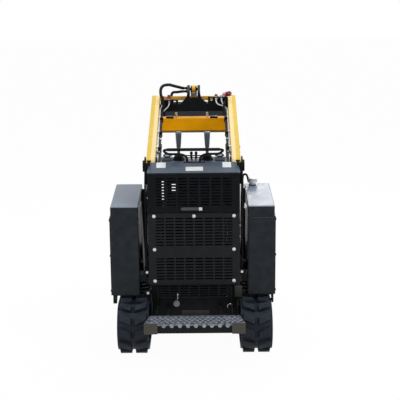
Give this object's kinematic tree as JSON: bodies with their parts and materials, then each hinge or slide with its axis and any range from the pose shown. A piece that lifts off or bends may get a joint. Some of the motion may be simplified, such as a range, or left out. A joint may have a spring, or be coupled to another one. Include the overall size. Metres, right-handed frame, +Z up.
{
  "type": "mini skid steer loader",
  "caption": "Tracked stand-on mini skid steer loader: slotted rear panels over a rear step, tall side tanks, raised arms with lift and tilt cylinders and a quick-hitch plate.",
  "frame": {"origin": "on the ground under the middle of the machine's box", "axes": "+Z up, +Y forward towards the hitch plate, +X to the machine's right"},
  "size_m": [1.082, 2.2408, 1.653],
  "materials": {
    "cast_engine_metal": "painted casting",
    "chrome_rod": "hard chromed and ground",
    "gloss_black_paint": "gloss",
    "grey_plastic": "moulded",
    "hose_rubber": "moulded hose cover",
    "lamp_lens": "clear",
    "rubber_track": "moulded, matt",
    "satin_black_paint": "satin",
    "worn_steel_tread": "worn by boots",
    "yellow_paint": "gloss",
    "zinc_plated_steel": "zinc plated"
  },
  "bodies": {
    "chassis": {"arm_tower_left": "gloss_black_paint", "arm_tower_right": "gloss_black_paint", "auxiliary_levers": "satin_black_paint", "chassis_frame": "satin_black_paint", "control_deck": "gloss_black_paint", "drain_fitting": "grey_plastic", "drive_lever_left": "grey_plastic", "drive_lever_right": "grey_plastic", "drive_sprocket_left": "satin_black_paint", "drive_sprocket_right": "satin_black_paint", "engine_block": "cast_engine_metal", "engine_hood": "gloss_black_paint", "front_apron": "gloss_black_paint", "front_cover": "gloss_black_paint", "front_idler_left": "satin_black_paint", "front_idler_right": "satin_black_paint", "grab_bar": "satin_black_paint", "instrument_pod_left": "grey_plastic", "instrument_pod_right": "grey_plastic", "lower_grille": "satin_black_paint", "operator_step": "worn_steel_tread", "rear_frame": "gloss_black_paint", "rear_lower_panel": "gloss_black_paint", "roller_frame_left": "satin_black_paint", "roller_frame_right": "satin_black_paint", "side_cover_left": "gloss_black_paint", "side_cover_right": "gloss_black_paint", "side_tank_left": "gloss_black_paint", "side_tank_right": "gloss_black_paint", "step_bracket": "satin_black_paint", "tank_cap": "zinc_plated_steel", "track_left": "rubber_track", "track_right": "rubber_track", "work_lamp_left": "lamp_lens", "work_lamp_right": "lamp_lens"},
    "lift_arms": {"cross_tube": "yellow_paint", "lift_arm_left": "yellow_paint", "lift_arm_right": "yellow_paint", "line_bulkhead_left": "gloss_black_paint", "line_bulkhead_right": "gloss_black_paint", "oil_lines_left": "zinc_plated_steel", "oil_lines_right": "zinc_plated_steel", "tilt_bracket": "gloss_black_paint", "tilt_hose_left": "hose_rubber", "tilt_hose_right": "hose_rubber", "tilt_hose_short": "hose_rubber", "upper_bar": "yellow_paint"},
    "rear_door": {"door_latch": "zinc_plated_steel", "rear_upper_door": "gloss_black_paint"},
    "hitch": {"hitch_plate": "satin_black_paint"},
    "lift_barrel_left": {"lift_barrel_left": "satin_black_paint"},
    "lift_barrel_right": {"lift_barrel_right": "satin_black_paint"},
    "lift_rod_left": {"lift_rod_left": "chrome_rod"},
    "lift_rod_right": {"lift_rod_right": "chrome_rod"},
    "tilt_barrel": {"tilt_barrel": "yellow_paint"},
    "tilt_rod": {"tilt_rod": "chrome_rod"}
  },
  "joints": [
    {"name": "rear_door_hinge", "type": "hinge", "parent": "chassis", "child": "rear_door", "pos_m": [0, -0.77541, 1.193], "axis": [-1, 0, 0], "range_deg": [0, 80]},
    {"name": "lift", "type": "hinge", "parent": "chassis", "child": "lift_arms", "pos_m": [0, -0.6154, 1.215], "axis": [1, 0, 0], "range_deg": [-44, 24]},
    {"name": "tilt", "type": "hinge", "parent": "lift_arms", "child": "hitch", "pos_m": [0, 0.95459, 1.295], "axis": [1, 0, 0], "range_deg": [-80, 5]},
    {"name": "lift_barrel_swing_left", "type": "hinge", "parent": "chassis", "child": "lift_barrel_left", "pos_m": [0, -0.57541, 0.605], "axis": [1, 0, 0], "range_deg": [-10.53, 5.88]},
    {"name": "lift_rod_slide_left", "type": "slide", "parent": "lift_barrel_left", "child": "lift_rod_left", "axis": [0, 0.4136, 0.9105], "range_m": [-0.23998, 0.13136]},
    {"name": "lift_barrel_swing_right", "type": "hinge", "parent": "chassis", "child": "lift_barrel_right", "pos_m": [0, -0.57541, 0.605], "axis": [1, 0, 0], "range_deg": [-10.53, 5.88]},
    {"name": "lift_rod_slide_right", "type": "slide", "parent": "lift_barrel_right", "child": "lift_rod_right", "axis": [0, 0.4136, 0.9105], "range_m": [-0.23998, 0.13136]},
    {"name": "tilt_barrel_swing", "type": "hinge", "parent": "lift_arms", "child": "tilt_barrel", "pos_m": [0, 0.40459, 1.598], "axis": [1, 0, 0], "range_deg": [-0.77, 7.83]},
    {"name": "tilt_rod_slide", "type": "slide", "parent": "tilt_barrel", "child": "tilt_rod", "axis": [0, 0.9129, -0.4081], "range_m": [-0.00942, 0.13574]}
  ],
  "couplings": [
    {"joint": "lift_barrel_swing_left", "follows": "lift", "ratio": 0.2325},
    {"joint": "lift_rod_slide_left", "follows": "lift", "m_per_rad": 0.3112},
    {"joint": "lift_barrel_swing_right", "follows": "lift", "ratio": 0.2325},
    {"joint": "lift_rod_slide_right", "follows": "lift", "m_per_rad": 0.3112},
    {"joint": "tilt_barrel_swing", "follows": "tilt", "ratio": -0.0941},
    {"joint": "tilt_rod_slide", "follows": "tilt", "m_per_rad": -0.0965}
  ]
}
